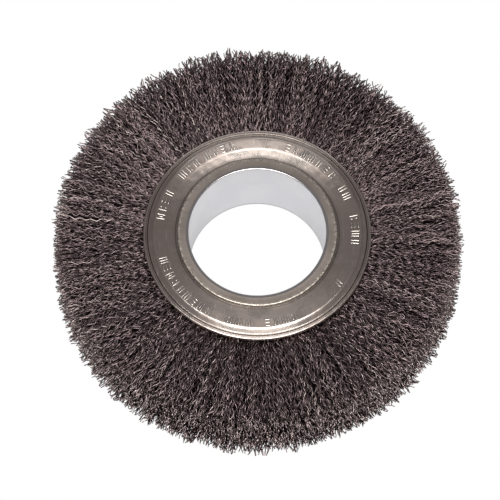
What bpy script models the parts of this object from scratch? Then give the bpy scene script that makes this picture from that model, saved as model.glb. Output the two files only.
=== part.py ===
"""Crimped wire wheel brush for a bench grinder.

The wheel lies flat: +Z is its spin axis and leaves through the marked side, and
the origin is the centre of the bore, half way through the width. It is built the
way the real wheel is: a sleeve whose ends are curled over two stamped side plates,
and between the plates three sections of crimped wire, each folded round its own
hoop. The thousands of wires are grouped into bundles, one closed solid each, which
the hoop of their section passes through.

All sizes are in metres. Run with: blender --background --python part.py
"""

from math import cos, pi, radians, sin

import bmesh
import bpy
from mathutils import Vector

# Overall sizes.
WHEEL_DIAMETER = 0.1524  # over the trimmed wire tips
BORE_DIAMETER = 0.0508  # inside the sleeve
HUB_WIDTH = 0.0320  # over the sleeve's two curled ends
FILL_WIDTH = 0.0310  # over the wires, where they spread widest

# Sleeve.
SLEEVE_WALL = 0.0010
CURL_BEND = 0.0004  # inside radius of the curled ends
FLANGE_REACH = 0.0045  # how far the curled ends stand out from the bore

# Side plates.
PLATE_DIAMETER = 0.0844
PLATE_THICKNESS = 0.0010
BAND_RISE = 0.0008  # of the flat marked band above the land under the sleeve's flange
RIM_DROP = 0.0014  # from the marked band down to the plate's rim
BEAD_RISE = 0.0003  # height of the stiffening bead inside the rim
LIP_DEPTH = 0.0016  # how far the rolled lip reaches down over the wires

# Wire fill.
SECTION_NAMES = ("rear", "middle", "front")
BUNDLES = 12  # in each section
HOOP_WIRE = 0.0030
FOLD_THICKNESS = 0.0018  # of the wires that pass inside the hoop
RIM_ROUNDING = 0.0040  # how far the trimmed rim is rounded off at both sides

GAP = 0.0003  # between pieces that touch
SEGMENTS = 48  # facets in a full turn
HOOP_SIDES = 8

WHEEL_RADIUS = WHEEL_DIAMETER / 2
BORE_RADIUS = BORE_DIAMETER / 2
SLEEVE_RADIUS = BORE_RADIUS + SLEEVE_WALL
FLANGE_RADIUS = BORE_RADIUS + FLANGE_REACH
PLATE_RADIUS = PLATE_DIAMETER / 2
PLATE_HOLE_RADIUS = SLEEVE_RADIUS + CURL_BEND

HALF_HUB = HUB_WIDTH / 2
LAND_HEIGHT = HALF_HUB - SLEEVE_WALL - GAP  # top of the plate under the curled end
BAND_HEIGHT = LAND_HEIGHT + BAND_RISE
RIM_HEIGHT = BAND_HEIGHT - RIM_DROP
LIP_HEIGHT = RIM_HEIGHT - LIP_DEPTH
LIP_INNER_RADIUS = PLATE_RADIUS - PLATE_THICKNESS

FOLD_RADIUS = SLEEVE_RADIUS + GAP
HOOP_RADIUS = FOLD_RADIUS + FOLD_THICKNESS + GAP + HOOP_WIRE / 2
HALF_PACKED = min(LAND_HEIGHT, RIM_HEIGHT) - PLATE_THICKNESS - GAP  # of the fill
HALF_PINCHED = LIP_HEIGHT - GAP  # of the fill, under the plates' lips
SECTIONS = len(SECTION_NAMES)

MATERIALS = {
    "zinc_sleeve": ((0.60, 0.60, 0.62), 0.32, 1.0),
    "pressed_steel": ((0.42, 0.40, 0.36), 0.36, 1.0),
    "hoop_steel": ((0.30, 0.29, 0.28), 0.45, 1.0),
    "crimped_wire": ((0.12, 0.105, 0.10), 0.45, 0.9),
}


def clear_scene():
    for old in list(bpy.data.objects):
        bpy.data.objects.remove(old, do_unlink=True)


def make_materials():
    made = {}
    for name, (colour, roughness, metallic) in MATERIALS.items():
        material = bpy.data.materials.new(name)
        material.use_nodes = True
        shader = material.node_tree.nodes["Principled BSDF"]
        shader.inputs["Base Color"].default_value = (*colour, 1.0)
        shader.inputs["Roughness"].default_value = roughness
        shader.inputs["Metallic"].default_value = metallic
        made[name] = material
    return made


def between(low, high, share):
    return low + (high - low) * share


def arc(centre, radius, start, end, steps):
    """Points (r, z) along an arc of a section, with its angles in degrees."""
    angles = (radians(between(start, end, i / steps)) for i in range(steps + 1))
    return [(centre[0] + radius * cos(a), centre[1] + radius * sin(a)) for a in angles]


def add_object(name, shape, material):
    """Closes a bmesh into a named object, smooth except at its real edges."""
    bmesh.ops.recalc_face_normals(shape, faces=shape.faces)
    mesh = bpy.data.meshes.new(name)
    shape.to_mesh(mesh)
    shape.free()
    mesh.shade_smooth()
    mesh.set_sharp_from_angle(angle=radians(30))
    mesh.materials.append(material)
    piece = bpy.data.objects.new(name, mesh)
    bpy.context.collection.objects.link(piece)
    return piece


def spin_about_z(shape, geometry, turn, steps):
    bmesh.ops.spin(
        shape,
        geom=geometry,
        cent=Vector(),
        axis=Vector((0, 0, 1)),
        angle=turn,
        steps=steps,
        use_merge=turn >= 2 * pi,
    )


def section_loop(shape, outline, turn):
    """The vertices and edges of a closed outline (r, z), turned about Z."""
    ring = [shape.verts.new((r * cos(turn), r * sin(turn), z)) for r, z in outline]
    edges = [shape.edges.new((ring[i - 1], ring[i])) for i in range(len(ring))]
    return ring, edges


def turned_ring(name, outline, material):
    """A full ring with this closed outline (r, z)."""
    shape = bmesh.new()
    ring, edges = section_loop(shape, outline, 0)
    spin_about_z(shape, ring + edges, 2 * pi, SEGMENTS)
    return add_object(name, shape, material)


def turned_wedge(name, outline, hole, first, last, material):
    """A ring's sector between two angles, with a tunnel of outline hole through it."""
    shape = bmesh.new()
    edges = section_loop(shape, outline, first)[1] + section_loop(shape, hole, first)[1]
    filled = bmesh.ops.triangle_fill(shape, edges=edges, use_beauty=True)["geom"]
    faces = [part for part in filled if isinstance(part, bmesh.types.BMFace)]
    spin_about_z(shape, faces, last - first, SEGMENTS // BUNDLES)
    return add_object(name, shape, material)


def mirrored(outline):
    return [(r, -z) for r, z in outline]


def sleeve_outline():
    """A tube's wall, curled outwards at both ends into a flange with a flat top."""
    bend = (SLEEVE_RADIUS + CURL_BEND, HALF_HUB - SLEEVE_WALL - CURL_BEND)
    nose = SLEEVE_WALL / 2
    upper = arc(bend, CURL_BEND, 180, 90, 2)
    upper += arc((FLANGE_RADIUS - nose, HALF_HUB - nose), nose, -90, 90, 2)
    upper += arc(bend, SLEEVE_WALL + CURL_BEND, 90, 180, 3)
    return upper + mirrored(upper)[::-1]


def plate_outline():
    """A pressed disc: land, slope up to the flat marked band, drop, bead and lip."""
    width = PLATE_RADIUS - FLANGE_RADIUS
    roll = LIP_DEPTH / 3

    def at(share):
        return FLANGE_RADIUS + width * share

    top = [
        (PLATE_HOLE_RADIUS, LAND_HEIGHT),
        (at(0.09), LAND_HEIGHT),
        (at(0.35), BAND_HEIGHT),
        (at(0.68), BAND_HEIGHT),
        (at(0.85), RIM_HEIGHT),
        (at(0.88), RIM_HEIGHT),
        (at(0.92), RIM_HEIGHT + BEAD_RISE),
    ]
    lip = arc((PLATE_RADIUS - roll, RIM_HEIGHT - roll), roll, 80, 0, 2)
    underside = [
        (PLATE_RADIUS, LIP_HEIGHT),
        (LIP_INNER_RADIUS, LIP_HEIGHT),
        (LIP_INNER_RADIUS, RIM_HEIGHT - PLATE_THICKNESS),
        (at(0.82), RIM_HEIGHT - PLATE_THICKNESS),
        (at(0.65), BAND_HEIGHT - PLATE_THICKNESS),
        (at(0.37), BAND_HEIGHT - PLATE_THICKNESS),
        (at(0.11), LAND_HEIGHT - PLATE_THICKNESS),
        (PLATE_HOLE_RADIUS, LAND_HEIGHT - PLATE_THICKNESS),
    ]
    return top + lip + underside


def fill_top():
    """The fill's side from the fold to the rim, as (r, half width of the fill)."""
    neck = LIP_INNER_RADIUS - GAP
    free = PLATE_RADIUS + GAP
    half_rim = FILL_WIDTH / 2

    def out(share):
        return between(free, WHEEL_RADIUS, share)

    return [
        (neck, HALF_PACKED),
        (neck, HALF_PINCHED),
        (free, HALF_PINCHED),
        (out(0.30), between(HALF_PINCHED, half_rim, 0.60)),
        (out(0.62), between(HALF_PINCHED, half_rim, 0.95)),
        (out(0.82), half_rim),
        (out(0.96), half_rim - RIM_ROUNDING / 3),
        (WHEEL_RADIUS, half_rim - RIM_ROUNDING),
    ]


def split_height(r):
    """Half width of the middle section, which spreads towards the rim."""
    share = (r - FOLD_RADIUS) / (WHEEL_RADIUS - FOLD_RADIUS)
    return between(HALF_PACKED, FILL_WIDTH / 2, share) / SECTIONS


def hoop_height(section):
    """Height of a section's hoop, for section 0, 1 or 2 from the rear."""
    return (section - SECTIONS // 2) * 2 * HALF_PACKED / SECTIONS


def fold_corners(low, high):
    """The rounded inner end of a section, where its wires pass inside the hoop."""
    soft = (high - low) / 4
    return [
        (FOLD_RADIUS + soft, low),
        (FOLD_RADIUS, low + soft),
        (FOLD_RADIUS, high - soft),
        (FOLD_RADIUS + soft, high),
    ]


def middle_outline():
    edge = split_height(FOLD_RADIUS) - GAP / 2
    upper = [
        (LIP_INNER_RADIUS, split_height(LIP_INNER_RADIUS) - GAP / 2),
        (WHEEL_RADIUS, split_height(WHEEL_RADIUS) - GAP / 2),
    ]
    return fold_corners(-edge, edge) + upper + mirrored(upper)[::-1]


def front_outline():
    low = split_height(FOLD_RADIUS) + GAP / 2
    inner = [
        (WHEEL_RADIUS, split_height(WHEEL_RADIUS) + GAP / 2),
        (LIP_INNER_RADIUS, split_height(LIP_INNER_RADIUS) + GAP / 2),
    ]
    return fold_corners(low, HALF_PACKED) + fill_top() + inner


def make_hub(materials):
    turned_ring("bore_sleeve", sleeve_outline(), materials["zinc_sleeve"])
    turned_ring("front_side_plate", plate_outline(), materials["pressed_steel"])
    turned_ring("rear_side_plate", mirrored(plate_outline()), materials["pressed_steel"])


def make_section(section, outline, materials):
    """One hoop and the bundles that are folded round it."""
    name = SECTION_NAMES[section]
    centre = (HOOP_RADIUS, hoop_height(section))
    half_wire = HOOP_WIRE / 2
    hoop = arc(centre, half_wire, 0, 360, HOOP_SIDES)[:-1]
    turned_ring(f"{name}_hoop", hoop, materials["hoop_steel"])
    tunnel = arc(centre, half_wire + GAP, 0, 360, HOOP_SIDES)[:-1]
    pitch = 2 * pi / BUNDLES
    parting = GAP / (2 * FOLD_RADIUS)
    stagger = pitch / 2 if section == SECTIONS // 2 else 0
    for i in range(BUNDLES):
        first = stagger + i * pitch + parting
        last = stagger + (i + 1) * pitch - parting
        bundle = f"{name}_wire_bundle_{i + 1:02d}"
        turned_wedge(bundle, outline, tunnel, first, last, materials["crimped_wire"])


def main():
    clear_scene()
    materials = make_materials()
    make_hub(materials)
    make_section(0, mirrored(front_outline()), materials)
    make_section(1, middle_outline(), materials)
    make_section(2, front_outline(), materials)


main()
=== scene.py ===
import math

import bmesh
import bpy
import numpy as np
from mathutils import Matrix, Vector


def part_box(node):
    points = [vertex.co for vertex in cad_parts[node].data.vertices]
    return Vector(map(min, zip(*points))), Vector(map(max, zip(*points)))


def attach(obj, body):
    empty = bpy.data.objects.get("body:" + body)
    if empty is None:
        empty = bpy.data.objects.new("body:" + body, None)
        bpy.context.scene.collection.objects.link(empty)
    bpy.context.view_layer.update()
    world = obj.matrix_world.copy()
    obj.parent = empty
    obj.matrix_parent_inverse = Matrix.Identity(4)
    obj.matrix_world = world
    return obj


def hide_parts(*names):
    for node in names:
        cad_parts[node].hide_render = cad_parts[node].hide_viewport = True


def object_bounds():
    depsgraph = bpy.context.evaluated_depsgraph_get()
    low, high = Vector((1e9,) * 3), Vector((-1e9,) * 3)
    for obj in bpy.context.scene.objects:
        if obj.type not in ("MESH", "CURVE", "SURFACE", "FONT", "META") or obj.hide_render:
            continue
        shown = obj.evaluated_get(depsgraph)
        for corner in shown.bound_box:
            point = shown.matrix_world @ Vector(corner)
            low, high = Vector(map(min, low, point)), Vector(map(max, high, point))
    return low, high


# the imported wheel: spin axis is Z, the marked side faces up
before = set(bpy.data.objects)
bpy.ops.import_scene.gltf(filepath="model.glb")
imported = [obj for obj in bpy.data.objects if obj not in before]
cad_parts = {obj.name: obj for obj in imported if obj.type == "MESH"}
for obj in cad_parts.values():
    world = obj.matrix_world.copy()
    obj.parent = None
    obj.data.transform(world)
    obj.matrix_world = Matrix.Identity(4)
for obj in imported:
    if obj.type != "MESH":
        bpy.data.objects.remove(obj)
cadLow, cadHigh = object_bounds()
root = "root"
mm = 0.001

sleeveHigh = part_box("bore_sleeve")[1]
plateLow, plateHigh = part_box("front_side_plate")
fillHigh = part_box("front_wire_bundle_01")[1]

wheel = {
    "tipRadius": (cadHigh.x - cadLow.x) / 2,
    "halfFill": fillHigh.z,
    "halfHub": sleeveHigh.z,
    "flangeRadius": sleeveHigh.x,
    "boreRadius": 25.4 * mm,
    "plateRadius": plateHigh.x,
    "bandHeight": plateHigh.z,
    "lipHeight": plateLow.z,
    "bundles": 12,
}
print("frame loaded:", len(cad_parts), "nodes")


# the camera looks down on the marked side, with the wheel nearly in the middle
view = {
    "target": Vector((-2.7 * mm, -0.4 * mm, 0)),
    "elevation": 66.5,
    "distance": 1.712,
    "lens": 330.7,
    "sensor": 36,
}


def makeCamera():
    tilt = math.radians(view["elevation"])
    camera = bpy.data.objects.new("camera", bpy.data.cameras.new("camera"))
    bpy.context.scene.collection.objects.link(camera)
    away = Vector((0, -math.cos(tilt), math.sin(tilt)))
    camera.location = view["target"] + away * view["distance"]
    camera.rotation_euler = (-away).to_track_quat("-Z", "Y").to_euler()
    camera.data.lens = view["lens"]
    camera.data.sensor_width = view["sensor"]
    camera.data.clip_start = 0.01
    camera.data.clip_end = 20
    bpy.context.scene.camera = camera


studio = {
    "floorSize": 6.0,
    "floorGlow": 0.30,
    "floorColour": (0.34, 0.34, 0.345, 1),
    "skyColour": (1.0, 0.95, 0.96, 1),
    "skyStrength": 0.27,
    # name, direction from the wheel, distance, size, power, colour
    "softboxes": (
        ("overheadSoftbox", (0, -0.33, 1), 1.3, (1.0, 1.0), 26, (1, 0.99, 0.965)),
        ("backCard", (0, 1, 0.42), 1.5, (1.5, 0.9), 4.0, (1, 1, 1)),
    ),
}


def addSoftbox(name, direction, distance, size, power, colour):
    lamp = bpy.data.lights.new(name, "AREA")
    lamp.shape = "RECTANGLE"
    lamp.size, lamp.size_y = size
    lamp.energy = power
    lamp.color = colour
    softbox = bpy.data.objects.new(name, lamp)
    bpy.context.scene.collection.objects.link(softbox)
    away = Vector(direction).normalized()
    softbox.location = away * distance
    softbox.rotation_euler = (-away).to_track_quat("-Z", "Y").to_euler()


def whiteToCamera(tree, dim, white, surface):
    # the camera sees plain white, every other ray the dimmer shader, which throws less light on the wheel
    seen = tree.nodes.new("ShaderNodeLightPath")
    either = tree.nodes.new("ShaderNodeMixShader")
    tree.links.new(seen.outputs["Is Camera Ray"], either.inputs["Fac"])
    tree.links.new(dim.outputs[0], either.inputs[1])
    tree.links.new(white.outputs[0], either.inputs[2])
    tree.links.new(either.outputs[0], surface)


def makeFloor():
    half = studio["floorSize"] / 2
    mesh = bpy.data.meshes.new("floor")
    corners = [(-half, -half, 0), (half, -half, 0), (half, half, 0), (-half, half, 0)]
    mesh.from_pydata(corners, [], [(0, 1, 2, 3)])
    floor = bpy.data.objects.new("floor", mesh)
    floor.location.z = cadLow.z - 0.0002
    bpy.context.scene.collection.objects.link(floor)
    paper = bpy.data.materials.new("whitePaper")
    paper.use_nodes = True
    tree = paper.node_tree
    shader = tree.nodes["Principled BSDF"]
    shader.inputs["Base Color"].default_value = studio["floorColour"]
    shader.inputs["Roughness"].default_value = 0.9
    shader.inputs["Emission Color"].default_value = (1, 1, 1, 1)
    shader.inputs["Emission Strength"].default_value = studio["floorGlow"]
    white = tree.nodes.new("ShaderNodeEmission")
    whiteToCamera(tree, shader, white, tree.nodes["Material Output"].inputs["Surface"])
    mesh.materials.append(paper)


def makeRoom():
    world = bpy.data.worlds.new("paleRoom")
    world.use_nodes = True
    tree = world.node_tree
    sky = tree.nodes["Background"]
    sky.inputs["Color"].default_value = studio["skyColour"]
    sky.inputs["Strength"].default_value = studio["skyStrength"]
    backdrop = tree.nodes.new("ShaderNodeBackground")
    backdrop.inputs["Color"].default_value = (1, 1, 1, 1)
    whiteToCamera(tree, sky, backdrop, tree.nodes["World Output"].inputs["Surface"])
    bpy.context.scene.world = world


makeCamera()
makeFloor()
makeRoom()
for softbox in studio["softboxes"]:
    addSoftbox(*softbox)
bpy.context.scene.view_settings.view_transform = "Standard"
print("camera, floor and lights set")


# each helper adds one node and gives back its output; a value is set, a socket is linked
def addNode(tree, kind, **settings):
    node = tree.nodes.new(kind)
    for name, value in settings.items():
        setattr(node, name, value)
    return node


def mathNode(tree, operation, first, second=None):
    node = addNode(tree, "ShaderNodeMath", operation=operation)
    for socket, value in zip(node.inputs, (first, second)):
        if value is None:
            continue
        if isinstance(value, (int, float)):
            socket.default_value = value
        else:
            tree.links.new(value, socket)
    return node.outputs[0]


def mixColours(tree, factor, first, second):
    node = addNode(tree, "ShaderNodeMix", data_type="RGBA")
    # the colour sockets of a Mix node are its seventh and eighth inputs
    for socket, value in ((node.inputs[0], factor), (node.inputs[6], first), (node.inputs[7], second)):
        if isinstance(value, (int, float)):
            socket.default_value = value
        elif isinstance(value, tuple):
            socket.default_value = (*value[:3], 1)
        else:
            tree.links.new(value, socket)
    return node.outputs[2]


def rangeNode(tree, value, fromLow, fromHigh, toLow, toHigh):
    node = addNode(tree, "ShaderNodeMapRange", interpolation_type="SMOOTHSTEP")
    tree.links.new(value, node.inputs["Value"])
    limits = {"From Min": fromLow, "From Max": fromHigh, "To Min": toLow, "To Max": toHigh}
    for name, number in limits.items():
        node.inputs[name].default_value = number
    return node.outputs[0]


def noiseNode(tree, place, scale, detail, **settings):
    node = addNode(tree, "ShaderNodeTexNoise", **settings)
    node.inputs["Detail"].default_value = detail
    tree.links.new(place, node.inputs["Vector"])
    if isinstance(scale, (int, float)):
        node.inputs["Scale"].default_value = scale
    else:
        tree.links.new(scale, node.inputs["Scale"])
    return node


def bumpNode(tree, height, strength, distance):
    node = addNode(tree, "ShaderNodeBump")
    node.inputs["Strength"].default_value = strength
    node.inputs["Distance"].default_value = distance
    tree.links.new(height, node.inputs["Height"])
    return node


def bodyPlace(tree):
    return addNode(tree, "ShaderNodeTexCoord").outputs["Object"]


def newGroup(name, inputs, outputs):
    group = bpy.data.node_groups.new(name, "ShaderNodeTree")
    for socketName, kind, value in inputs:
        socket = group.interface.new_socket(socketName, in_out="INPUT", socket_type=kind)
        if value is not None:
            socket.default_value = value
    for socketName, kind in outputs:
        group.interface.new_socket(socketName, in_out="OUTPUT", socket_type=kind)
    return group, addNode(group, "NodeGroupInput"), addNode(group, "NodeGroupOutput")


def useGroup(tree, group, **values):
    node = addNode(tree, "ShaderNodeGroup", node_tree=group)
    for name, value in values.items():
        socket = node.inputs[name]
        if isinstance(value, (int, float)):
            socket.default_value = value
        else:
            tree.links.new(value, socket)
    return node


def newMaterial(name):
    material = bpy.data.materials.new(name)
    material.use_nodes = True
    tree = material.node_tree
    return material, tree, tree.nodes["Principled BSDF"]


# distance from the spin axis and height along it, in metres
def makePolarGroup():
    outputs = [("Radius", "NodeSocketFloat"), ("Height", "NodeSocketFloat")]
    group, source, sink = newGroup("turnedPlace", [], outputs)
    split = addNode(group, "ShaderNodeSeparateXYZ")
    group.links.new(bodyPlace(group), split.inputs[0])
    squareX = mathNode(group, "MULTIPLY", split.outputs["X"], split.outputs["X"])
    squareY = mathNode(group, "MULTIPLY", split.outputs["Y"], split.outputs["Y"])
    radius = mathNode(group, "SQRT", mathNode(group, "ADD", squareX, squareY))
    group.links.new(radius, sink.inputs["Radius"])
    group.links.new(split.outputs["Z"], sink.inputs["Height"])
    return group


# fine rings left by the press and the rolling tool, which wander a little, and broad streaks along them
grainScales = {"drift": 90, "broad": 1500}


def makeGrainGroup(polar):
    group, source, sink = newGroup(
        "turnedGrain",
        [("Scale", "NodeSocketFloat", 9000.0), ("Wander", "NodeSocketFloat", 0.00004)],
        [("Height", "NodeSocketFloat"), ("Streak", "NodeSocketFloat")],
    )
    place = useGroup(group, polar)
    drift = noiseNode(group, bodyPlace(group), grainScales["drift"], 2, noise_dimensions="3D")
    moved = mathNode(group, "SUBTRACT", drift.outputs["Fac"], 0.5)
    moved = mathNode(group, "MULTIPLY", moved, source.outputs["Wander"])
    ring = addNode(group, "ShaderNodeCombineXYZ")
    group.links.new(mathNode(group, "ADD", place.outputs["Radius"], moved), ring.inputs["X"])
    group.links.new(mathNode(group, "ADD", place.outputs["Height"], moved), ring.inputs["Y"])
    fine = noiseNode(group, ring.outputs[0], source.outputs["Scale"], 3, noise_dimensions="2D")
    broad = noiseNode(group, ring.outputs[0], grainScales["broad"], 2, noise_dimensions="2D")
    group.links.new(fine.outputs["Fac"], sink.inputs["Height"])
    group.links.new(broad.outputs["Fac"], sink.inputs["Streak"])
    return group


# blotches of oil and handling, short scratches that all lean one way, and fine specks
handlingScales = {"scratch": (1500, 160, 400), "lean": 0.7, "speck": 2600}


def makeHandlingGroup():
    group, source, sink = newGroup(
        "handlingMarks",
        [("Blotch Size", "NodeSocketFloat", 0.006), ("Scratch Amount", "NodeSocketFloat", 0.5)],
        [("Blotch", "NodeSocketFloat"), ("Scratch", "NodeSocketFloat"), ("Speck", "NodeSocketFloat")],
    )
    body = bodyPlace(group)
    scale = mathNode(group, "DIVIDE", 1.0, source.outputs["Blotch Size"])
    blotch = noiseNode(group, body, scale, 4)
    blotch.inputs["Roughness"].default_value = 0.55
    group.links.new(rangeNode(group, blotch.outputs["Fac"], 0.38, 0.66, 0, 1), sink.inputs["Blotch"])
    stretched = addNode(group, "ShaderNodeMapping")
    stretched.inputs["Scale"].default_value = handlingScales["scratch"]
    stretched.inputs["Rotation"].default_value = (0, 0, handlingScales["lean"])
    group.links.new(body, stretched.inputs["Vector"])
    scratch = noiseNode(group, stretched.outputs[0], 1, 2)
    lines = rangeNode(group, scratch.outputs["Fac"], 0.64, 0.72, 0, 1)
    lines = mathNode(group, "MULTIPLY", lines, source.outputs["Scratch Amount"])
    group.links.new(lines, sink.inputs["Scratch"])
    speck = noiseNode(group, body, handlingScales["speck"], 3)
    group.links.new(speck.outputs["Fac"], sink.inputs["Speck"])
    return group


turnedPlace = makePolarGroup()
turnedGrain = makeGrainGroup(turnedPlace)
handlingMarks = makeHandlingGroup()


# the marked band rises a little outwards
band = {"outer": wheel["plateRadius"] - 4.0 * mm, "slope": 0.07}


def bandSurface(radius):
    return wheel["bandHeight"] - band["slope"] * (band["outer"] - radius)


# plain stamped signs on the marked band, in groups, and one leaning pair between two groups;
# a group is its first sign's place in degrees, and its count of signs
marks = {
    "inner": 34.6 * mm,
    "outer": 37.9 * mm,
    "width": 0.72 * mm,
    "rise": 0.20 * mm,
    "pitch": 5.3,
    "cell": 2.5 * mm,
    "groups": ((-84, 4), (-6, 4), (24, 2), (40, 7), (105, 4), (129, 3), (154, 4), (198, 9), (254, 3)),
    "leaning": -34,
    "seed": 8,
}

# each sign is a few strokes in a cell 2 wide and 2 high: (across, up) to (across, up)
signs = {
    "pair": (((-0.45, -1), (-0.45, 1)), ((0.45, -1), (0.45, 1))),
    "three": (((-0.8, -1), (-0.8, 1)), ((0, -1), (0, 1)), ((0.8, -1), (0.8, 1))),
    "barAndDots": (((-0.4, -1), (-0.4, 1)), ((0.5, -0.75), (0.5, -0.35)), ((0.5, 0.35), (0.5, 0.75))),
    "dashes": (((-0.8, 0.75), (0.8, 0.75)), ((-0.8, 0), (0.8, 0)), ((-0.8, -0.75), (0.8, -0.75))),
    "longAndShort": (((-0.6, -1), (-0.6, 1)), ((0.1, -0.5), (0.1, 0.5)), ((0.75, -1), (0.75, 1))),
}


# the side plates' rolled sheet; dark rings in the rim's groove and at its step, and painted shade in the
# gap outside the sleeve's flange, each by radius, reach, amount
steelFinish = {
    "dull": (0.37, 0.318, 0.29),
    "bright": (0.48, 0.43, 0.396),
    "streak": (0.275, 0.23, 0.207),
    "scratch": (0.62, 0.60, 0.57),
    "grooveDark": (0.05, 0.04, 0.035),
    "darkGrooves": (
        (wheel["plateRadius"] - 1.52 * mm, 0.34 * mm, 0.95),
        (wheel["plateRadius"] - 0.86 * mm, 0.20 * mm, 0.7),
        (wheel["flangeRadius"] + 0.45 * mm, 0.5 * mm, 0.6),
    ),
    "markFootShade": (0.06, 0.05, 0.045),
    "markTopWearAndHighlight": (0.62, 0.58, 0.535),
    "roughness": (0.27, 0.19),
    "streakRoughness": 0.10,
    "ringDepth": 0.02 * mm,
    "dentScale": 230,
    "dentDepth": 0.22 * mm,
    "anisotropy": 0.65,
}


def markTones(tree, place, colour):
    # painted shade at a raised mark's foot, and lighter on its top as rubbed wear and painted highlight
    down = mathNode(tree, "SUBTRACT", place.outputs["Radius"], band["outer"])
    down = mathNode(tree, "MULTIPLY", down, -band["slope"])
    lift = mathNode(tree, "ADD", place.outputs["Height"], down)
    lift = rangeNode(tree, lift, wheel["bandHeight"], wheel["bandHeight"] + marks["rise"] * 0.8, 0, 1)
    colour = mixColours(tree, rangeNode(tree, lift, 0, 0.35, 0.75, 0), colour, steelFinish["markFootShade"])
    return mixColours(tree, rangeNode(tree, lift, 0.4, 0.9, 0, 0.8), colour, steelFinish["markTopWearAndHighlight"])


def makePressedSteel(name, raised):
    material, tree, shader = newMaterial(name)
    grain = useGroup(tree, turnedGrain)
    handling = useGroup(tree, handlingMarks, **{"Blotch Size": 0.009, "Scratch Amount": 0.5})
    colour = mixColours(tree, handling.outputs["Blotch"], steelFinish["dull"], steelFinish["bright"])
    streak = rangeNode(tree, grain.outputs["Streak"], 0.35, 0.68, 0, 0.5)
    colour = mixColours(tree, streak, colour, steelFinish["streak"])
    colour = mixColours(tree, handling.outputs["Scratch"], colour, steelFinish["scratch"])
    place = useGroup(tree, turnedPlace)
    # darker rings along the rim's groove and step, and painted shade in the gap outside the sleeve's
    # flange
    for ring, reach, amount in steelFinish["darkGrooves"]:
        away = mathNode(tree, "ABSOLUTE", mathNode(tree, "SUBTRACT", place.outputs["Radius"], ring))
        grooveDark = rangeNode(tree, away, 0, reach, amount, 0)
        colour = mixColours(tree, grooveDark, colour, steelFinish["grooveDark"])
    if raised:
        colour = markTones(tree, place, colour)
    tree.links.new(colour, shader.inputs["Base Color"])
    shader.inputs["Metallic"].default_value = 1.0
    rough = rangeNode(tree, handling.outputs["Blotch"], 0, 1, *steelFinish["roughness"])
    streaky = mathNode(tree, "MULTIPLY", grain.outputs["Streak"], steelFinish["streakRoughness"])
    tree.links.new(mathNode(tree, "ADD", rough, streaky), shader.inputs["Roughness"])
    dents = noiseNode(tree, bodyPlace(tree), steelFinish["dentScale"], 1)
    sheet = bumpNode(tree, dents.outputs["Fac"], 0.5, steelFinish["dentDepth"])
    rings = bumpNode(tree, grain.outputs["Height"], 0.35, steelFinish["ringDepth"])
    tree.links.new(sheet.outputs[0], rings.inputs["Normal"])
    tree.links.new(rings.outputs[0], shader.inputs["Normal"])
    # the rolled surface spreads light across its fine rings
    shader.inputs["Anisotropic"].default_value = steelFinish["anisotropy"]
    shader.inputs["Anisotropic Rotation"].default_value = 0.25
    around = addNode(tree, "ShaderNodeTangent", direction_type="RADIAL", axis="Z")
    tree.links.new(around.outputs[0], shader.inputs["Tangent"])
    return material


# the sleeve: plated bore wall, curl and flat flange, and a rough cut edge outside
zincFinish = {
    "bore": ((0.68, 0.68, 0.71), (0.72, 0.715, 0.73)),
    "lowEdge": (0.30, 0.29, 0.30),
    "curl": (0.46, 0.44, 0.44),
    "flange": ((0.235, 0.205, 0.18), (0.30, 0.26, 0.235)),
    "burr": ((0.21, 0.18, 0.155), (0.46, 0.42, 0.375)),
    "curlRadii": (25.42 * mm, 25.6 * mm),
    "flangeRadii": (26.3 * mm, 26.7 * mm),
    "burrRadii": (28.0 * mm, 29.3 * mm),
    "lowHeights": (-15.2 * mm, -14.7 * mm),
    "roughness": 0.28,
    "curlRoughness": -0.10,
    "flangeRoughness": 0.20,
    "pits": 0.9,
    "turning": 0.5,
    "depth": 0.05 * mm,
}


def makeZincPlate():
    material, tree, shader = newMaterial("zincPlate")
    place = useGroup(tree, turnedPlace)
    grain = useGroup(tree, turnedGrain, Scale=5000.0)
    handling = useGroup(tree, handlingMarks, **{"Blotch Size": 0.014, "Scratch Amount": 0.3})
    radius = place.outputs["Radius"]
    onCurl = rangeNode(tree, radius, *zincFinish["curlRadii"], 0, 1)
    onFlange = rangeNode(tree, radius, *zincFinish["flangeRadii"], 0, 1)
    cutEdge = rangeNode(tree, radius, *zincFinish["burrRadii"], 0, 1)
    colour = mixColours(tree, handling.outputs["Blotch"], *zincFinish["bore"])
    lowEdge = rangeNode(tree, place.outputs["Height"], *zincFinish["lowHeights"], 0.6, 0)
    colour = mixColours(tree, lowEdge, colour, zincFinish["lowEdge"])
    colour = mixColours(tree, onCurl, colour, zincFinish["curl"])
    speckle = rangeNode(tree, handling.outputs["Speck"], 0.42, 0.6, 0, 1)
    flat = mixColours(tree, handling.outputs["Blotch"], *zincFinish["flange"])
    burr = mixColours(tree, speckle, *zincFinish["burr"])
    flat = mixColours(tree, cutEdge, flat, burr)
    tree.links.new(mixColours(tree, onFlange, colour, flat), shader.inputs["Base Color"])
    shader.inputs["Metallic"].default_value = 1.0
    rough = mathNode(tree, "MULTIPLY", onCurl, zincFinish["curlRoughness"])
    rough = mathNode(tree, "ADD", rough, zincFinish["roughness"])
    flatter = mathNode(tree, "MULTIPLY", onFlange, zincFinish["flangeRoughness"])
    tree.links.new(mathNode(tree, "ADD", rough, flatter), shader.inputs["Roughness"])
    pitted = mathNode(tree, "MULTIPLY", cutEdge, zincFinish["pits"])
    pitted = mathNode(tree, "MULTIPLY", handling.outputs["Speck"], pitted)
    turned = mathNode(tree, "MULTIPLY", onFlange, zincFinish["turning"])
    turned = mathNode(tree, "MULTIPLY", grain.outputs["Height"], turned)
    bump = bumpNode(tree, mathNode(tree, "ADD", pitted, turned), 0.5, zincFinish["depth"])
    tree.links.new(bump.outputs[0], shader.inputs["Normal"])
    return material
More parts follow.
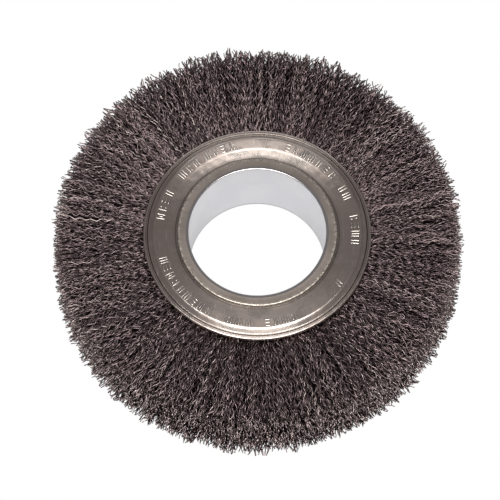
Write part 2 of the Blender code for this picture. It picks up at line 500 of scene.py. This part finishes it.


# each wire has its own tone from dark to light, few are bright, and the trimmed ends are worn lighter,
# with painted light that makes them lightest in the middle of the rim's height
wireFinish = {
    "dark": (0.09, 0.063, 0.067),
    "light": (0.265, 0.204, 0.206),
    "bright": (0.40, 0.345, 0.325),
    "wearAndPaintedLight": (0.55, 0.46, 0.445),
    "wornFrom": 5 * mm,
    "wornFull": 1 * mm,
    "paintedShade": (0.03, 0.02, 0.022),
    "paintedShadeAmount": 0.85,
    "roughness": 0.33,
}


def makeCrimpedWire():
    material, tree, shader = newMaterial("temperedWire")
    tone = addNode(tree, "ShaderNodeAttribute", attribute_name="wireTone").outputs["Fac"]
    paintedShade = addNode(tree, "ShaderNodeAttribute", attribute_name="paintedShade").outputs["Fac"]
    light = rangeNode(tree, tone, 0, 0.8, 0, 1)
    colour = mixColours(tree, light, wireFinish["dark"], wireFinish["light"])
    colour = mixColours(tree, rangeNode(tree, tone, 0.9, 1.0, 0, 1), colour, wireFinish["bright"])
    place = useGroup(tree, turnedPlace)
    inner, outer = wheel["tipRadius"] - wireFinish["wornFrom"], wheel["tipRadius"] - wireFinish["wornFull"]
    wearAndPaintedLight = rangeNode(tree, place.outputs["Radius"], inner, outer, 0, 1)
    fromMiddle = mathNode(tree, "ABSOLUTE", place.outputs["Height"])
    # painted light: the tips' lightening is full in the middle of the rim's height and half as strong at
    # its corners
    wearAndPaintedLight = mathNode(tree, "MULTIPLY", wearAndPaintedLight, rangeNode(tree, fromMiddle, 9 * mm, 13 * mm, 1.0, 0.5))
    wearAndPaintedLight = mathNode(tree, "MULTIPLY", wearAndPaintedLight, rangeNode(tree, tone, 0, 0.8, 0.1, 0.9))
    colour = mixColours(tree, wearAndPaintedLight, colour, wireFinish["wearAndPaintedLight"])
    # painted shade: wires inside the fill and under the rim's corners get darker
    shaded = mathNode(tree, "MULTIPLY", paintedShade, wireFinish["paintedShadeAmount"])
    colour = mixColours(tree, shaded, colour, wireFinish["paintedShade"])
    tree.links.new(colour, shader.inputs["Base Color"])
    shader.inputs["Metallic"].default_value = 1.0
    shader.inputs["Roughness"].default_value = wireFinish["roughness"]
    return material


# the core is coloured near black as painted shade of the wires packed deep in the fill, seen only in the
# gaps
coreFinish = {"dark": (0.02, 0.014, 0.015), "light": (0.06, 0.048, 0.05), "strandScale": 1800}


def makePackedCore():
    material, tree, shader = newMaterial("packedWire")
    strands = noiseNode(tree, bodyPlace(tree), coreFinish["strandScale"], 2)
    shade = rangeNode(tree, strands.outputs["Fac"], 0.4, 0.65, 0, 1)
    colour = mixColours(tree, shade, coreFinish["dark"], coreFinish["light"])
    tree.links.new(colour, shader.inputs["Base Color"])
    shader.inputs["Metallic"].default_value = 0.2
    shader.inputs["Roughness"].default_value = 0.8
    return material


hoopFinish = {"dull": (0.20, 0.19, 0.185), "bright": (0.34, 0.33, 0.32), "roughness": (0.3, 0.5)}


def makeDrawnHoop():
    material, tree, shader = newMaterial("drawnHoop")
    handling = useGroup(tree, handlingMarks, **{"Blotch Size": 0.004, "Scratch Amount": 0.4})
    colour = mixColours(tree, handling.outputs["Blotch"], hoopFinish["dull"], hoopFinish["bright"])
    tree.links.new(colour, shader.inputs["Base Color"])
    shader.inputs["Metallic"].default_value = 1.0
    rough = rangeNode(tree, handling.outputs["Speck"], 0.3, 0.7, *hoopFinish["roughness"])
    tree.links.new(rough, shader.inputs["Roughness"])
    return material


pressedSteel = makePressedSteel("pressedSteel", False)
stampedSteel = makePressedSteel("stampedSteel", True)
zincPlate = makeZincPlate()
temperedWire = makeCrimpedWire()
packedWire = makePackedCore()
drawnHoop = makeDrawnHoop()
print("finishes made")


# every piece is finished here: its material, body and the nodes that it replaces
def closePiece(name, mesh, material, slotName, *nodes):
    mesh.materials.append(material)
    piece = bpy.data.objects.new(name, mesh)
    bpy.context.scene.collection.objects.link(piece)
    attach(piece, root)
    if nodes:
        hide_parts(*nodes)


def gridMesh(name, points):
    # points is (around, across, 3), closed both ways; quads join neighbours
    around, across = points.shape[:2]
    mesh = bpy.data.meshes.new(name)
    i, j = np.meshgrid(np.arange(around), np.arange(across), indexing="ij")
    nextI, nextJ = (i + 1) % around, (j + 1) % across
    quads = [i * across + j, nextI * across + j, nextI * across + nextJ, i * across + nextJ]
    quads = np.stack(quads, -1).reshape(-1, 4)
    fillMesh(mesh, points.reshape(-1, 3), quads.ravel(), np.full(len(quads), 4))
    mesh.shade_smooth()
    return mesh


def fillMesh(mesh, points, corners, sizes):
    mesh.vertices.add(len(points))
    mesh.vertices.foreach_set("co", np.asarray(points, np.float32).ravel())
    mesh.loops.add(len(corners))
    mesh.loops.foreach_set("vertex_index", corners.astype(np.int32))
    mesh.polygons.add(len(sizes))
    starts = np.concatenate([[0], np.cumsum(sizes)[:-1]])
    mesh.polygons.foreach_set("loop_start", starts.astype(np.int32))
    mesh.update(calc_edges=True)
    mesh.validate()


def roundCorners(outline, radii, steps):
    # each corner of a closed outline (r, z) becomes a short curve of about its radius
    made = []
    count = len(outline)
    for k, (corner, radius) in enumerate(zip(outline, radii)):
        corner = np.array(corner, float)
        before = np.array(outline[k - 1], float) - corner
        after = np.array(outline[(k + 1) % count], float) - corner
        reach = min(radius, 0.48 * np.linalg.norm(before), 0.48 * np.linalg.norm(after))
        if reach <= 0:
            made.append(corner)
            continue
        first = corner + before / np.linalg.norm(before) * reach
        last = corner + after / np.linalg.norm(after) * reach
        for t in np.linspace(0, 1, steps):
            made.append((1 - t) ** 2 * first + 2 * t * (1 - t) * corner + t**2 * last)
    return np.array(made)


def spacedOutline(outline, longest):
    # adds points on long runs, so that grooves and dents have something to bend
    made = []
    for k in range(len(outline)):
        start, end = outline[k], outline[(k + 1) % len(outline)]
        pieces = max(1, int(math.ceil(np.linalg.norm(end - start) / longest)))
        for t in range(pieces):
            made.append(start + (end - start) * t / pieces)
    return np.array(made)


def turnOutline(outline, segments, uneven):
    # uneven moves each point of the turned outline a little
    turn = np.linspace(0, 2 * math.pi, segments, endpoint=False)
    r, z = uneven(turn[:, None], outline[None, :, 0], outline[None, :, 1])
    return np.stack([r * np.cos(turn)[:, None], r * np.sin(turn)[:, None], z], -1)


# smooth seeded waves round the wheel, for dents and wavy cut edges
def waves(rng, turn, orders, height):
    total = np.zeros_like(turn)
    for order in orders:
        total = total + rng.normal() * np.cos(order * turn + rng.uniform(0, 2 * math.pi))
    return total * height / math.sqrt(len(orders) / 2)


sleeve = {
    "wall": 1.0 * mm,
    "curl": 1.3 * mm,
    "flangeFall": 0.03 * mm,
    "edgeWave": 0.14 * mm,
    "segments": 360,
    "seed": 3,
}


def makeSleeve():
    bore, flange, top = wheel["boreRadius"], wheel["flangeRadius"], wheel["halfHub"]
    wall = sleeve["wall"]
    crest = bore + sleeve["curl"]
    fall = sleeve["flangeFall"]
    upper = [
        (bore + wall, top - wall),
        (flange - 0.2 * mm, top - wall - 0.02 * mm),
        (flange, top - wall * 0.55 - fall),
        (flange - 0.45 * mm, top - fall),
        (crest + 0.5 * mm, top - fall),
        (crest - 0.35 * mm, top),
        (bore, top),
    ]
    radii = [0.5 * mm, 0.15 * mm, 0.3 * mm, 0.5 * mm, 0.5 * mm, 0.3 * mm, 1.0 * mm]
    lower = [(r, -z) for r, z in upper][::-1]
    outline = roundCorners(upper + lower, radii + radii[::-1], 8)
    outline = spacedOutline(outline, 0.9 * mm)
    rng = np.random.default_rng(sleeve["seed"])
    state = rng.integers(1 << 30)

    def uneven(turn, r, z):
        local = np.random.default_rng(state)
        out = np.clip((r - (crest + 1.2 * mm)) / (flange - crest - 1.2 * mm), 0, 1)
        wavy = waves(local, turn, (2, 3, 5, 9, 14, 23, 37, 58), sleeve["edgeWave"])
        dents = waves(local, turn, (41, 67, 89, 113), 0.03 * mm)
        return r + out * wavy * 0.8, z + np.sign(z) * out * (dents + wavy * 0.15)

    points = turnOutline(outline, sleeve["segments"], uneven)
    mesh = gridMesh("boreSleeve", points[:, ::-1])
    closePiece("boreSleeve", mesh, zincPlate, "zinc_sleeve", "bore_sleeve")


plate = {
    "thickness": 1.0 * mm,
    "hole": 26.8 * mm,
    "landHeight": 14.7 * mm,
    "rimHeight": 14.1 * mm,
    "rimStep": 0.10 * mm,
    "segments": 360,
    "wobble": 0.03 * mm,
}


def plateOutline():
    edge, high, lip = wheel["plateRadius"], wheel["bandHeight"], wheel["lipHeight"]
    land, rim = plate["landHeight"], plate["rimHeight"]
    thick, step = plate["thickness"], plate["rimStep"]
    # radius, height and corner radius in mm, along the top and back under the sheet
    profile = [
        (plate["hole"], land, 0.1),
        (edge - 11.3 * mm, land, 0.9),
        (edge - 8.4 * mm, bandSurface(edge - 8.4 * mm) - 0.1 * mm, 1.4),
        (edge - 7.7 * mm, bandSurface(edge - 7.7 * mm), 0.6),
        (edge - 4.0 * mm, high, 0.7),
        (edge - 3.4 * mm, high - 0.30 * mm, 0.3),
        (edge - 2.05 * mm, rim + step, 0.35),
        (edge - 1.75 * mm, rim + step, 0.06),
        (edge - 1.62 * mm, rim - 0.08 * mm, 0.06),
        (edge - 1.42 * mm, rim - 0.08 * mm, 0.06),
        (edge - 1.30 * mm, rim + step, 0.06),
        (edge - 0.95 * mm, rim + step * 0.9, 0.1),
        (edge - 0.84 * mm, rim, 0.1),
        (edge - 0.45 * mm, rim, 0.1),
        (edge, rim - 0.20 * mm, 0.3),
        (edge, lip, 0.15),
        (edge - thick, lip, 0.15),
        (edge - thick, rim - thick, 0.3),
        (edge - 2.3 * mm, rim - thick, 0.8),
        (edge - 4.3 * mm, high - thick, 0.8),
        (edge - 7.8 * mm, high - 0.3 * mm - thick, 1.2),
        (edge - 10.9 * mm, land - thick, 0.9),
        (plate["hole"], land - thick, 0.1),
    ]
    outline = roundCorners([point[:2] for point in profile], [point[2] * mm for point in profile], 6)
    return spacedOutline(outline, 0.5 * mm)


def makePlate(name, node, side, seed):
    outline = plateOutline()
    outline[:, 1] *= side
    if side < 0:
        outline = outline[::-1]
    rng = np.random.default_rng(seed)
    state = rng.integers(1 << 30)

    def uneven(turn, r, z):
        local = np.random.default_rng(state)
        out = (r - plate["hole"]) / (wheel["plateRadius"] - plate["hole"])
        wavy = waves(local, turn, (2, 3, 4, 7), plate["wobble"])
        return r + out * wavy, z - side * out * np.abs(wavy)

    points = turnOutline(outline, plate["segments"], uneven)
    mesh = gridMesh(name, points[:, ::-1])
    closePiece(name, mesh, pressedSteel, "pressed_steel", node)


strokeSides = 8


def addStroke(shape, start, end):
    # a low bar with rounded sides from start to end, standing out of the band
    width, rise = marks["width"], marks["rise"]
    along = (end - start).normalized()
    across = Vector((-along.y, along.x, 0))
    rings = []
    reach = (end - start).length
    for t, narrow in ((0, 0.0), (0.05, 0.85), (0.1, 1.0), (0.5, 1.0), (0.9, 1.0), (0.95, 0.85), (1, 0.0)):
        centre = start + along * reach * t
        ring = []
        for k in range(strokeSides + 1):
            part = 1 - 2 * k / strokeSides
            side = across * (part * width / 2 * max(narrow, 0.35))
            lift = min(1, 1.5 * (0.5 + 0.5 * math.cos(math.pi * part))) * rise * narrow
            spot = (centre + side).xy
            ring.append(shape.verts.new((*spot, bandSurface(spot.length) + lift - 0.03 * mm)))
        rings.append(ring)
    for first, second in zip(rings, rings[1:]):
        for k in range(strokeSides):
            shape.faces.new((first[k], second[k], second[k + 1], first[k + 1]))
        shape.faces.new((first[-1], second[-1], second[0], first[0]))
    shape.faces.new(rings[0])
    shape.faces.new(rings[-1][::-1])


def makeMarks():
    shape = bmesh.new()
    rng = np.random.default_rng(marks["seed"])
    longBar = marks["outer"] - marks["inner"]

    def place(turn, radius):
        return Vector((radius * math.cos(turn), radius * math.sin(turn), 0))

    middle = (marks["inner"] + marks["outer"]) / 2

    def corner(turn, spot):
        across, up = spot
        return place(turn - across * marks["cell"] / 2 / middle, middle + up * longBar / 2)

    for first, count in marks["groups"]:
        names = rng.permutation(list(signs))
        for k in range(count):
            turn = math.radians(first + k * marks["pitch"])
            for start, end in signs[names[k % len(names)]]:
                addStroke(shape, corner(turn, start), corner(turn, end))
    turn = math.radians(marks["leaning"])
    for side in (-0.6, 0.4):
        addStroke(shape, corner(turn, (side, -0.8)), corner(turn, (side + 0.4, 0.8)))
    bmesh.ops.recalc_face_normals(shape, faces=shape.faces)
    mesh = bpy.data.meshes.new("frontPlateMarks")
    shape.to_mesh(mesh)
    shape.free()
    mesh.shade_smooth()
    closePiece("frontPlateMarks", mesh, stampedSteel, "pressed_steel")


makeSleeve()
makePlate("frontSidePlate", "front_side_plate", 1, 5)
makePlate("rearSidePlate", "rear_side_plate", -1, 6)
makeMarks()
for name in ("front_hoop", "middle_hoop", "rear_hoop"):
    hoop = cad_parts[name]
    for materialSlot in hoop.material_slots:
        materialSlot.material = drawnHoop
print("sleeve, plates, marks and hoops made")


# the crimped wires: sizes, counts in each bundle, where they start, and how they stray
wires = {
    "radius": 0.21 * mm,
    "step": 0.76 * mm,
    "waveLength": 4.0 * mm,
    "waveHeight": (0.34 * mm, 0.58 * mm),
    "wander": 0.8 * mm,
    "wanderUp": 0.5 * mm,
    "alone": 0.5,
    "layerHeight": 1.6 * mm,
    "stretchAlike": 0.1,
    "phaseAlike": 3.2,
    "planeAlike": 2.6,
    "twist": 0.8,
    "straightRoot": 2.0 * mm,
    "straightTip": 4 * mm,
    "tipCrimp": 0.12,
    "faceCount": 300,
    "deepCount": 130,
    "middleCount": 230,
    "tipCount": 120,
    "faceStart": (40.2 * mm, 41.2 * mm),
    "deepStart": (58 * mm, 61 * mm),
    "tipStart": (66 * mm, 68 * mm),
    "faceSpread": math.radians(4.5),
    "deepSpread": math.radians(6),
    "tipSpread": math.radians(5),
    "faceLayer": 7.2 * mm,
    "sectionEdge": 5.0 * mm,
    "middleHalf": 5.2 * mm,
    "trimmed": 1.0 * mm,
    "shortTips": 1.9 * mm,
    "pastTips": 0.3 * mm,
    "seed": 21,
}


# the fill's half width at a radius, from the plates' lip to the rounded rim
def fillSide(r):
    lip, rim = wheel["lipHeight"] - 0.4 * mm, wheel["halfFill"]
    share = (r - wheel["plateRadius"]) / (wheel["tipRadius"] - wheel["plateRadius"])
    share = np.clip(share, 0, 1)
    return lip + (rim - lip) * (1 - (1 - np.minimum(share / 0.75, 1)) ** 2)


# how far out the trimmed tips reach at a height
def tipReach(z):
    flat = 9.0 * mm
    past = np.clip((np.abs(z) - flat) / (wheel["halfFill"] - flat), 0, 1)
    lowSpread = np.where(z < -8 * mm, 0.4 * mm, 0)  # the side that the wheel lies on is pressed out
    return wheel["tipRadius"] - wires["trimmed"] - 0.2 * mm * past**3 + lowSpread


def wanderAlong(rng, count, s, height, slow=2.5):
    total = np.zeros((count, len(s)))
    for order in (0.6, 1.0, 1.7):
        phase = rng.uniform(0, 2 * math.pi, (count, 1))
        size = rng.normal(0, 1, (count, 1)) / order
        wave = np.sin(2 * math.pi * order * slow * s[None, :] + phase) - np.sin(phase)
        total += size * wave
    return total * height * 0.5


# tips lean together in small tufts, each with a place and a length of its own
tufts = {
    "width": 2.3 * mm,
    "pull": 0.8,
    "reach": 9 * mm,
    "uneven": 0.45 * mm,
    "tall": 0.7 * mm,
    "tallest": 3.2 * mm,
    "taper": 0.5,
    "seed": 4,
}


def makeTufts():
    around = int(round(2 * math.pi * wheel["tipRadius"] / tufts["width"]))
    rows = 2 * int(math.ceil(wheel["halfFill"] / tufts["width"])) + 2
    rng = np.random.default_rng(tufts["seed"])
    centre = rng.uniform(0.2, 0.8, (around, rows, 2))
    length = rng.normal(0, tufts["uneven"], (around, rows))
    length = np.minimum(length + rng.exponential(tufts["tall"], (around, rows)), tufts["tallest"])
    return {"around": around, "rows": rows, "centre": centre, "length": length}


tuftTable = makeTufts()


def tuftOf(turn, height):
    # how far a wire's tip moves round and along the axis to its tuft's centre, and the tuft's length
    around, rows = tuftTable["around"], tuftTable["rows"]
    row = np.floor(height / tufts["width"]).astype(int) + rows // 2
    row = np.clip(row, 0, rows - 1)
    place = turn / (2 * math.pi) * around + 0.5 * (row % 2)
    cell = np.floor(place).astype(int)
    centre = tuftTable["centre"][cell % around, row]
    sideways = (cell + centre[:, 0] - place) * tufts["width"]
    along = (row - rows // 2 + centre[:, 1]) * tufts["width"] - height
    length = tuftTable["length"][cell % around, row] - tufts["taper"] * np.hypot(sideways, along)
    return sideways[:, None], along[:, None], length


def alike(turn, layer, seed):
    # a smooth value for each wire, nearly the same for its neighbours
    rng = np.random.default_rng(seed)
    total = 0
    for k in range(4):
        around = round(rng.uniform(14, 60)) * turn
        inward = rng.uniform(-1.2, 1.2) * layer
        total = total + np.sin(around + inward + rng.uniform(0, 6))
    return total / 1.4


goldenShare = 0.618034  # steps of this share of a bundle spread any number of wires evenly


def wirePaths(rng, count, innerRadius, turnRange, startHeight, endHeight, spread):
    # centre lines of count wires, all with the same number of points
    length = wheel["tipRadius"] - np.mean(innerRadius)
    points = int(round(length / wires["step"])) + 1
    s = np.linspace(0, 1, points)
    # each wire goes where the last ones left the widest gap
    spaced = (np.arange(count) * goldenShare + rng.uniform() + rng.normal(0, 0.008, count)) % 1
    turn = turnRange[0] + (turnRange[1] - turnRange[0]) * spaced
    turn = turn[:, None]
    sideways, along, longer = tuftOf(turn[:, 0], endHeight)
    tip = tipReach(endHeight) - rng.exponential(wires["shortTips"], count) + longer
    tip = np.minimum(tip, wheel["tipRadius"] + wires["pastTips"])
    r = innerRadius[:, None] + (tip - innerRadius)[:, None] * s[None, :]
    grown = r - innerRadius[:, None]
    rise = 1 - (1 - s) ** 2.0
    z = startHeight[:, None] + (endHeight - startHeight)[:, None] * rise[None, :]
    z = z + wanderAlong(rng, count, s, wires["wanderUp"]) * s
    across = grown * np.tan(rng.normal(0, spread, (count, 1)))
    across = across + wanderAlong(rng, count, s, wires["wander"])
    nearTip = np.clip((r - wheel["tipRadius"] + tufts["reach"]) / tufts["reach"], 0, 1)
    gather = tufts["pull"] * nearTip**1.5
    across = across + (sideways - across) * gather
    z = z + along * gather
    # the crimp is a wave in a slowly turning plane, and neighbours are nearly in step
    layer = endHeight[:, None] / wires["layerHeight"]
    stretch = 1 + wires["stretchAlike"] * alike(turn, layer, 1) + rng.normal(0, 0.012, (count, 1))
    waveLength = wires["waveLength"] * stretch
    waveHeight = rng.uniform(*wires["waveHeight"], (count, 1))
    phase = wires["phaseAlike"] * alike(turn, layer, 2) + rng.normal(0, wires["alone"], (count, 1))
    plane = wires["planeAlike"] * alike(turn, layer, 3) + rng.normal(0, 0.5, (count, 1))
    plane = plane + wires["twist"] * s[None, :]
    fade = np.clip(grown / wires["straightRoot"], 0, 1)
    toTip = np.clip((tip[:, None] - r) / wires["straightTip"], 0, 1)
    fade = fade * (wires["tipCrimp"] + (1 - wires["tipCrimp"]) * toTip)
    crimp = waveHeight * np.sin(2 * math.pi * (r - wheel["plateRadius"]) / waveLength + phase) * fade
    across = across + crimp * np.cos(plane)
    z = z + crimp * np.sin(plane)
    # no wire stands past the hub's ends
    most = wheel["halfHub"] - 0.25 * mm
    z = np.clip(z, -most, most)
    x = r * np.cos(turn) - across * np.sin(turn)
    y = r * np.sin(turn) + across * np.cos(turn)
    return np.stack([x, y, z], -1)


def tubesAlong(paths, radius, rng):
    # three-sided tubes with closed ends
    count, points = paths.shape[:2]
    tangent = np.gradient(paths, axis=1)
    tangent /= np.linalg.norm(tangent, axis=2, keepdims=True)
    up = np.array([0, 0, 1.0])
    side = np.cross(tangent, up)
    side /= np.linalg.norm(side, axis=2, keepdims=True)
    lift = np.cross(side, tangent)
    sides = 3
    roll = rng.uniform(0, 2 * math.pi, (count, 1, 1))
    ringPoints = []
    for k in range(sides):
        a = roll + 2 * math.pi * k / sides
        ringPoints.append(paths + radius * (np.cos(a) * side + np.sin(a) * lift))
    ringPoints = np.stack(ringPoints, 2)
    base = (np.arange(count) * points * sides)[:, None, None]
    i = (np.arange(points - 1) * sides)[None, :, None]
    k = np.arange(sides)[None, None, :]
    nextK = (k + 1) % sides
    first, second = base + i, base + i + sides
    quads = np.stack([first + k, first + nextK, second + nextK, second + k], -1)
    ends = np.arange(count)[:, None] * points * sides
    startCap = ends + np.array([2, 1, 0])
    endCap = ends + (points - 1) * sides + np.array([0, 1, 2])
    return ringPoints.reshape(-1, 3), quads.reshape(-1, 4), np.concatenate([startCap, endCap])


# painted shade on the wires: how dark they get inside the fill, and a painted shadow line under the
# outermost tips of the rim's corners
dimming = {
    "faceDepth": 0.3 * mm,
    "rimDepth": 2.2 * mm,
    "rimShare": 1.5,
    "full": 1.9 * mm,
    "lineTop": (0.9 * mm, 0.8 * mm),
    "lineBottom": (4.8 * mm, 1.2 * mm),
    "lineInner": (6 * mm, 2 * mm),
    "lineAmount": 0.7,
}


def paintedShadeShare(points):
    # painted shade: 0 at the fill's outside, 1 some millimetres inside, with a painted shadow line under
    # the rim's corners
    r = np.hypot(points[:, 0], points[:, 1])
    z = np.abs(points[:, 2])
    fromFace = fillSide(r) - z
    fromRim = tipReach(z) - r
    inward = (fromRim - dimming["rimDepth"]) / dimming["rimShare"]
    depth = np.minimum(fromFace - dimming["faceDepth"], inward)
    below = wheel["halfFill"] - z
    top, topFade = dimming["lineTop"]
    bottom, bottomFade = dimming["lineBottom"]
    inner, innerFade = dimming["lineInner"]
    line = np.clip((below - top) / topFade, 0, 1) * np.clip((bottom - below) / bottomFade, 0, 1)
    line = line * np.clip((r - wheel["tipRadius"] + inner) / innerFade, 0, 1)
    return np.clip(np.maximum(depth / dimming["full"], dimming["lineAmount"] * line), 0, 1)


def makeBundle(name, node, parts, rng):
    allPoints, allQuads, allCaps, tones, strips = [], [], [], [], []
    offset, strip = 0, 0
    total = sum(len(part) for part in parts)
    for part in parts:
        points, quads, caps = tubesAlong(part, wires["radius"], rng)
        count, along = part.shape[:2]
        allPoints.append(points)
        allQuads.append(quads + offset)
        allCaps.append(caps + offset)
        tones.append(np.repeat(rng.uniform(0, 1, count), along * 3))
        u = np.repeat((strip + 0.5 + np.arange(count)) / total, along * 3)
        v = np.tile(np.repeat(np.linspace(0.01, 0.99, along), 3), count)
        strips.append(np.stack([u, v], -1))
        offset += len(points)
        strip += count
    points = np.concatenate(allPoints)
    quads, caps = np.concatenate(allQuads), np.concatenate(allCaps)
    mesh = bpy.data.meshes.new(name)
    corners = np.concatenate([quads.ravel(), caps.ravel()])
    sizes = np.concatenate([np.full(len(quads), 4), np.full(len(caps), 3)])
    fillMesh(mesh, points, corners, sizes)
    mesh.shade_smooth()
    tone = mesh.attributes.new("wireTone", "FLOAT", "POINT")
    tone.data.foreach_set("value", np.concatenate(tones).astype(np.float32))
    paintedShade = mesh.attributes.new("paintedShade", "FLOAT", "POINT")
    paintedShade.data.foreach_set("value", paintedShadeShare(points).astype(np.float32))
    layer = mesh.uv_layers.new(name="OFBake")
    place = np.concatenate(strips)[corners]
    layer.uv.foreach_set("vector", place.astype(np.float32).ravel())
    closePiece(name, mesh, temperedWire, "crimped_wire", node)


# the outer ends of wires whose length is hidden in the fill
def tipWires(rng, turnRange, heights, side):
    count = wires["tipCount"]
    height = np.sort(rng.uniform(*heights, count)) * side
    inner = rng.uniform(*wires["tipStart"], count)
    return wirePaths(rng, count, inner, turnRange, height * 0.97, height, wires["tipSpread"])


def makeOuterSection(section, side):
    pitch = 2 * math.pi / wheel["bundles"]
    for i in range(wheel["bundles"]):
        rng = np.random.default_rng((wires["seed"], section, i))
        turnRange = (i * pitch, (i + 1) * pitch)
        count = wires["faceCount"]
        layerShare = np.sort(rng.uniform(0, 1, count) ** 1.7)
        startShare = 0.6 * layerShare + 0.4 * rng.uniform(0, 1, count)
        start = (wheel["lipHeight"] - 0.55 * mm - 4.6 * mm * startShare) * side
        end = (wheel["halfFill"] - wires["faceLayer"] * layerShare) * side
        inner = rng.uniform(*wires["faceStart"], count)
        face = wirePaths(rng, count, inner, turnRange, start, end, wires["faceSpread"])
        count = wires["deepCount"]
        height = np.sort(rng.uniform(wires["sectionEdge"], wheel["halfFill"] - 4.5 * mm, count)) * side
        inner = rng.uniform(*wires["deepStart"], count)
        deep = wirePaths(rng, count, inner, turnRange, height * 0.92, height, wires["deepSpread"])
        tips = tipWires(rng, turnRange, (wires["sectionEdge"], wheel["halfFill"] - 0.2 * mm), side)
        name = ("rear", "middle", "front")[section]
        makeBundle(f"{name}Wires{i + 1:02d}", f"{name}_wire_bundle_{i + 1:02d}", [face, deep, tips], rng)


def makeMiddleSection():
    pitch = 2 * math.pi / wheel["bundles"]
    for i in range(wheel["bundles"]):
        rng = np.random.default_rng((wires["seed"], 1, i))
        turnRange = ((i + 0.5) * pitch, (i + 1.5) * pitch)
        count = wires["middleCount"]
        height = np.sort(rng.uniform(-wires["middleHalf"], wires["middleHalf"], count))
        inner = rng.uniform(*wires["deepStart"], count)
        deep = wirePaths(rng, count, inner, turnRange, height * 0.92, height, wires["deepSpread"])
        tips = tipWires(rng, turnRange, (-wires["middleHalf"], wires["middleHalf"]), 1)
        makeBundle(f"middleWires{i + 1:02d}", f"middle_wire_bundle_{i + 1:02d}", [deep, tips], rng)


makeOuterSection(2, 1)
print("front wires made")
makeMiddleSection()
print("middle wires made")
makeOuterSection(0, -1)
print("rear wires made")


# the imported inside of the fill, which closes the view between the wires
core = {"inner": 33 * mm, "outer": 63.5 * mm, "segments": 720, "ridge": 0.35 * mm, "seed": 11}


def makeCore():
    outline = [
        (core["inner"], 7.0 * mm, 1.0),
        (wheel["plateRadius"], 8.2 * mm, 2.0),
        (core["outer"] - 3 * mm, 9.8 * mm, 2.0),
        (core["outer"], 7.5 * mm, 1.5),
        (core["outer"], -7.5 * mm, 1.5),
        (core["outer"] - 3 * mm, -9.8 * mm, 2.0),
        (wheel["plateRadius"], -8.2 * mm, 2.0),
        (core["inner"], -7.0 * mm, 1.0),
    ]
    rounded = roundCorners([p[:2] for p in outline], [p[2] * mm for p in outline], 4)
    rounded = spacedOutline(rounded, 2.0 * mm)
    rng = np.random.default_rng(core["seed"])
    ridges = rng.uniform(-1, 1, (core["segments"], len(rounded)))

    def uneven(turn, r, z):
        return r + ridges * core["ridge"], z + ridges[:, ::-1] * core["ridge"]

    points = turnOutline(rounded, core["segments"], uneven)
    mesh = gridMesh("packedWires", points)
    closePiece("packedWires", mesh, packedWire, "crimped_wire")


makeCore()
print("core made")

bpy.context.view_layer.update()
